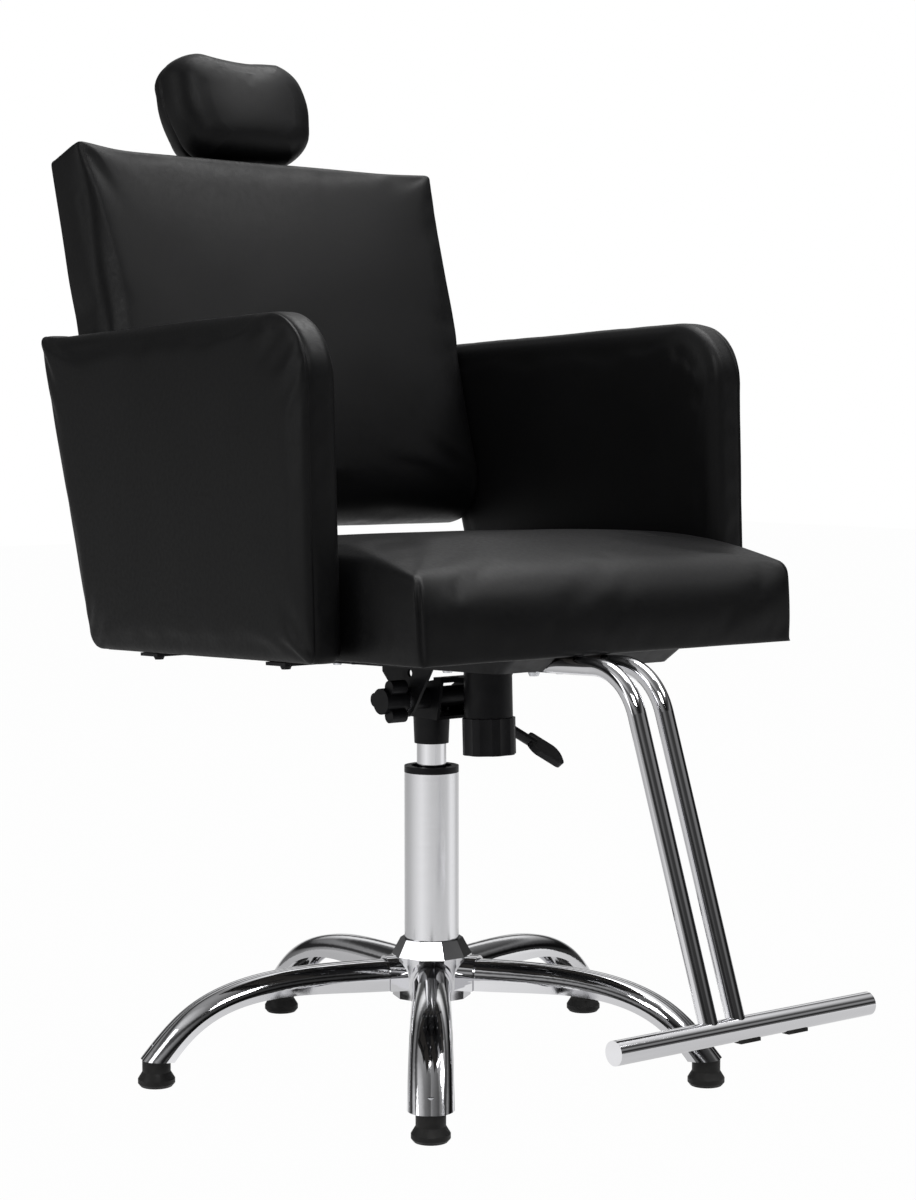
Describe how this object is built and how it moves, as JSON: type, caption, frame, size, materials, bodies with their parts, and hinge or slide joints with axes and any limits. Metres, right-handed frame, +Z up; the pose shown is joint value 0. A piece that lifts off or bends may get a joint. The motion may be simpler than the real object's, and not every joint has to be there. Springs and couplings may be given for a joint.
{
  "type": "threading chair",
  "caption": "Swivel salon chair with gas lift, reclining upholstered seat, boxed arms, sliding kidney headrest and a chrome footrest on a star base.",
  "frame": {"origin": "on the floor, on the axis of the column, in the middle of the foot circle", "axes": "+Z up along the column; the sitter faces -Y and has +X on the left"},
  "size_m": [0.538, 0.8172, 0.976],
  "materials": {
    "chrome": "polished chrome plate",
    "satin_steel": "satin ground steel",
    "black_plastic": "moulded, fine texture",
    "foot_rubber": "smooth hard rubber",
    "black_steel": "black powder coat",
    "zinc_steel": "bright zinc plate",
    "plywood": "stained black",
    "black_vinyl": "soft vinyl with a fine grain"
  },
  "bodies": {
    "base": {"hub": "chrome", "leg_1": "chrome", "leg_2": "chrome", "leg_3": "chrome", "leg_4": "chrome", "leg_5": "chrome", "glide_1": "foot_rubber", "glide_2": "foot_rubber", "glide_3": "foot_rubber", "glide_4": "foot_rubber", "glide_5": "foot_rubber", "glide_pins": "zinc_steel", "column_tube": "satin_steel", "guide_bush": "black_plastic", "bearing_lower_race": "zinc_steel", "bearing_balls": "zinc_steel"},
    "piston": {"piston_rod": "satin_steel", "bearing_upper_race": "zinc_steel", "rod_clip": "zinc_steel"},
    "lift": {"gas_cylinder": "chrome", "tilt_bracket": "black_steel", "lever_pin": "zinc_steel", "tension_spring": "zinc_steel"},
    "button": {"gas_button": "zinc_steel"},
    "lever": {"lift_lever": "black_steel", "lever_paddle": "black_plastic"},
    "seat": {"seat_tray": "black_steel", "tilt_ears": "black_steel", "pivot_bolt": "zinc_steel", "pivot_washer": "zinc_steel", "spring_housing": "black_steel", "tension_bolt": "zinc_steel", "tray_screws": "zinc_steel", "seat_board": "plywood", "seat_cushion": "black_vinyl", "arm_core_left": "plywood", "arm_core_right": "plywood", "arm_pad_left": "black_vinyl", "arm_pad_right": "black_vinyl", "arm_straps": "black_steel", "arm_strap_screws": "black_steel", "foot_tube_left": "chrome", "foot_tube_right": "chrome", "tube_screws": "zinc_steel", "footrest_bar": "chrome", "bar_end_caps": "chrome", "bar_bumpers": "foot_rubber", "back_bar": "black_steel", "back_bar_screws": "zinc_steel", "back_board": "plywood", "back_cushion": "black_vinyl", "headrest_sleeve": "black_steel", "sleeve_screws": "zinc_steel"},
    "wing": {"wing_knob": "black_plastic"},
    "spring_knob": {"tension_knob": "black_plastic"},
    "headrest": {"headrest_post": "black_steel", "headrest_board": "plywood", "headrest_cushion": "black_vinyl", "post_screws": "zinc_steel"},
    "clamp_knob": {"headrest_knob": "black_plastic"}
  },
  "joints": [
    {"name": "seat_swivel", "type": "hinge", "parent": "base", "child": "piston", "pos_m": [0, 0, 0.08], "axis": [0, 0, 1], "continuous": true},
    {"name": "seat_lift", "type": "slide", "parent": "piston", "child": "lift", "axis": [0, 0, 1], "range_m": [0, 0.1]},
    {"name": "lever_pull", "type": "hinge", "parent": "lift", "child": "lever", "pos_m": [0.02, 0, 0.346], "axis": [0, -1, 0], "range_deg": [0, 7], "stiffness_Nm_per_rad": 0.4, "springref_deg": -8.59},
    {"name": "button_press", "type": "slide", "parent": "lift", "child": "button", "axis": [0, 0, -1], "range_m": [0, 0.003]},
    {"name": "seat_tilt", "type": "hinge", "parent": "lift", "child": "seat", "pos_m": [0, -0.026, 0.352], "axis": [-1, 0, 0], "range_deg": [0, 12], "stiffness_Nm_per_rad": 60, "springref_deg": -20.05, "deforming": ["tension_spring"]},
    {"name": "wing_turn", "type": "hinge", "parent": "seat", "child": "wing", "pos_m": [-0.06, -0.026, 0.352], "axis": [-1, 0, 0], "range_deg": [-180, 0]},
    {"name": "tension_turn", "type": "hinge", "parent": "seat", "child": "spring_knob", "pos_m": [0, -0.08764, 0.32601], "axis": [0, 0.0349, 0.9994], "range_deg": [-180, 180]},
    {"name": "headrest_height", "type": "slide", "parent": "seat", "child": "headrest", "axis": [0, 0.2756, 0.9613], "range_m": [0, 0.08]},
    {"name": "clamp_turn", "type": "hinge", "parent": "seat", "child": "clamp_knob", "pos_m": [0, 0.3499, 0.78049], "axis": [0, 0.9613, -0.2756], "range_deg": [-180, 0]}
  ],
  "couplings": [
    {"joint": "button_press", "follows": "lever_pull", "m_per_rad": 0.0235}
  ]
}
